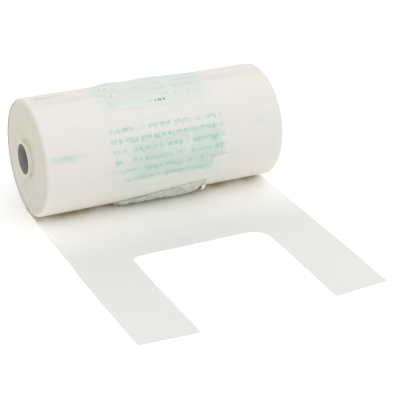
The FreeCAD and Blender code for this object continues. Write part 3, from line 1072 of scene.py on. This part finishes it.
    def ties(self, context):
        """Perforated strips that join the first bag to the second bag's handles."""
        sizes = context.scene.bag_roll_sizes
        material = wound_film_finish("film_ties", context)
        offsets = np.array([0.0, 0.0007, 0.0015, 0.0023, 0.003, 0.0045, 0.006, 0.0075])
        row = (np.arange(7)[:, None] * SLOT_PITCH + offsets[None, :]).ravel()
        row = np.append(row[row < sizes.handle_width], sizes.handle_width)
        turns = np.array([190.0, 190.9, 191.2, 191.5, 191.8, 192.8])
        keep = np.ones((len(turns) - 1, len(row) - 1), bool)
        middle = 0.5 * (row[1:] + row[:-1])
        keep[2, (middle % SLOT_PITCH) > SLOT_BRIDGE] = False
        made = []
        strips = (("ties_left", "bag_01_ties_left", -1), ("ties_right", "bag_01_ties_right", 1))
        for name, node, sign in strips:
            x, angle = np.meshgrid(sign * (0.5 * sizes.film_width - row), turns)
            lift = np.full(x.shape, -0.0003)
            piece = rolled_film(name, sizes, x, angle, lift, 0.00007, keep)
            piece.data.materials.append(material)
            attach(piece, "roll")
            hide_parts(node)
            made.append(piece)
        return made


class BAGROLL_OT_flat_film(bpy.types.Operator):
    """The drawn-out body of the first bag, from under the roll to the base of its mouth"""

    bl_idname = "bagroll.flat_film"
    bl_label = "Flat film"

    def execute(self, context):
        sizes = context.scene.bag_roll_sizes
        base, top = BODY_LOW.y, BODY_HIGH.z
        mouth = 0.5 * sizes.film_width - sizes.handle_width
        row, _ = columns(sizes, mouth - sizes.left_corner, mouth - sizes.right_corner, 70)
        x, y = np.meshgrid(row, np.linspace(FILM_BEHIND, base, 84))
        piece = flat_piece("flat_film", sizes, x, y)
        piece.data.materials.append(flat_film_finish("film_flat", context))
        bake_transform(piece)
        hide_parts("bag_01_contact_strip", "bag_01_body")
        return {"FINISHED"}


class BAGROLL_OT_handles(bpy.types.Operator):
    """The two handles of the first bag, from the base of its mouth to their torn tips"""

    bl_idname = "bagroll.handles"
    bl_label = "Handles"

    def execute(self, context):
        sizes = context.scene.bag_roll_sizes
        material = flat_film_finish("film_handles", context)
        pairs = (("handle_left", "bag_01_handle_left"), ("handle_right", "bag_01_handle_right"))
        for name, node in pairs:
            piece = self.handle(name, sizes)
            piece.data.materials.append(material)
            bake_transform(piece)
            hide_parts(node)
        return {"FINISHED"}

    def handle(self, name, sizes):
        """One handle: a rounded root, a slightly skewed band and a torn tip."""
        on_left = name == "handle_left"
        mouth = 0.5 * sizes.film_width - sizes.handle_width
        base, tip = BODY_LOW.y, HANDLE_LOW.y
        corner = sizes.left_corner if on_left else sizes.right_corner
        root = base - corner * np.linspace(0, 1, 14)
        lines = np.concatenate([root, np.linspace(base - corner, tip, 66)[1:]])
        x_rows = []
        for line in lines:
            into = max(0.0, corner - (base - line))
            inner = mouth - (corner - math.sqrt(max(0.0, corner**2 - into**2)))
            row, side = columns(sizes, inner, inner, 4)
            x_rows.append(row[: side + 1] if on_left else row[len(row) - 1 - side :])
        x = np.array(x_rows)
        y = np.repeat(lines[:, None], x.shape[1], axis=1)
        across = (np.abs(x) - mouth) / sizes.handle_width
        askew = -0.0042 * (1.0 - across) if on_left else 0.0042 * across
        y += askew * smooth(y, base - 0.045, tip)
        x += (0.0026 if on_left else -0.0012) * smooth(y, base - 0.045, tip)
        torn = np.where(x[-1] % SLOT_PITCH < SLOT_BRIDGE, -0.0007, 0.0)
        y[-1] += torn + 0.0004 * ripple(x[-1] * 300.0, 0.0, 3.0)
        return flat_piece(name, sizes, x, y)


class BAGROLL_PT_panel(bpy.types.Panel):
    """Builds the pieces of the bag roll one by one"""

    bl_idname = "BAGROLL_PT_panel"
    bl_label = "Bag roll"
    bl_space_type = "VIEW_3D"
    bl_region_type = "UI"
    bl_category = "Bag roll"

    def draw(self, context):
        layout = self.layout
        for group in (context.scene.bag_roll_sizes, context.scene.bag_roll_colours):
            box = layout.box()
            for name in group.__annotations__:
                box.prop(group, name)
        for operator in STEPS:
            layout.operator(operator.bl_idname)


STEPS = (
    BAGROLL_OT_stage,
    BAGROLL_OT_core,
    BAGROLL_OT_pack,
    BAGROLL_OT_second_bag,
    BAGROLL_OT_mouth_flap,
    BAGROLL_OT_first_bag_wrap,
    BAGROLL_OT_flat_film,
    BAGROLL_OT_handles,
)
CLASSES = (BagRollSizes, BagRollColours) + STEPS + (BAGROLL_PT_panel,)


def register():
    for cls in CLASSES:
        bpy.utils.register_class(cls)
    bpy.types.Scene.bag_roll_sizes = bpy.props.PointerProperty(type=BagRollSizes)
    bpy.types.Scene.bag_roll_colours = bpy.props.PointerProperty(type=BagRollColours)


def unregister():
    del bpy.types.Scene.bag_roll_colours
    del bpy.types.Scene.bag_roll_sizes
    for cls in reversed(CLASSES):
        bpy.utils.unregister_class(cls)


def main():
    register()
    bpy.ops.bagroll.stage()
    bpy.ops.bagroll.core()
    bpy.ops.bagroll.pack()
    bpy.ops.bagroll.second_bag()
    bpy.ops.bagroll.mouth_flap()
    bpy.ops.bagroll.first_bag_wrap()
    bpy.ops.bagroll.flat_film()
    bpy.ops.bagroll.handles()


if __name__ == "__main__":
    main()
